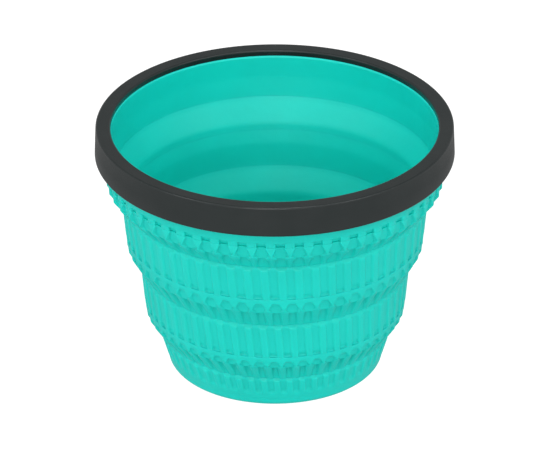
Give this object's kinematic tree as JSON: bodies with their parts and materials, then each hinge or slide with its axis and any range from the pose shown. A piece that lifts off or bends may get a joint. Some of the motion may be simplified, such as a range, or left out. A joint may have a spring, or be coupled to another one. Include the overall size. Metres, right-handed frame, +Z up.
{
  "type": "collapsible travel cup",
  "caption": "Collapsible travel cup: a stiff rim ring over stepped, ribbed silicone walls joined by folds that let it press flat.",
  "frame": {"origin": "centre of the underside, on the surface the open cup stands on", "axes": "+Z up along the cup's axis, towards the mouth; -Y is the front"},
  "size_m": [0.1076, 0.1076, 0.0785],
  "materials": {
    "rim": "fine satin grain",
    "silicone": "matte, slightly translucent moulded silicone"
  },
  "bodies": {
    "base": {"base_floor": "silicone", "base_wall": "silicone", "lower_fold": "silicone"},
    "lower_tier": {"lower_wall": "silicone", "middle_fold": "silicone"},
    "middle_tier": {"middle_wall": "silicone", "upper_fold": "silicone"},
    "rim_tier": {"upper_wall": "silicone", "rim_bead": "silicone", "rim_ring": "rim"}
  },
  "joints": [
    {"name": "lower_collapse", "type": "slide", "parent": "base", "child": "lower_tier", "axis": [0, 0, -1], "range_m": [0, 0.0189], "deforming": ["lower_fold"]},
    {"name": "middle_collapse", "type": "slide", "parent": "lower_tier", "child": "middle_tier", "axis": [0, 0, -1], "range_m": [0, 0.0217], "deforming": ["middle_fold"]},
    {"name": "upper_collapse", "type": "slide", "parent": "middle_tier", "child": "rim_tier", "axis": [0, 0, -1], "range_m": [0, 0.0206], "deforming": ["upper_fold"]}
  ]
}
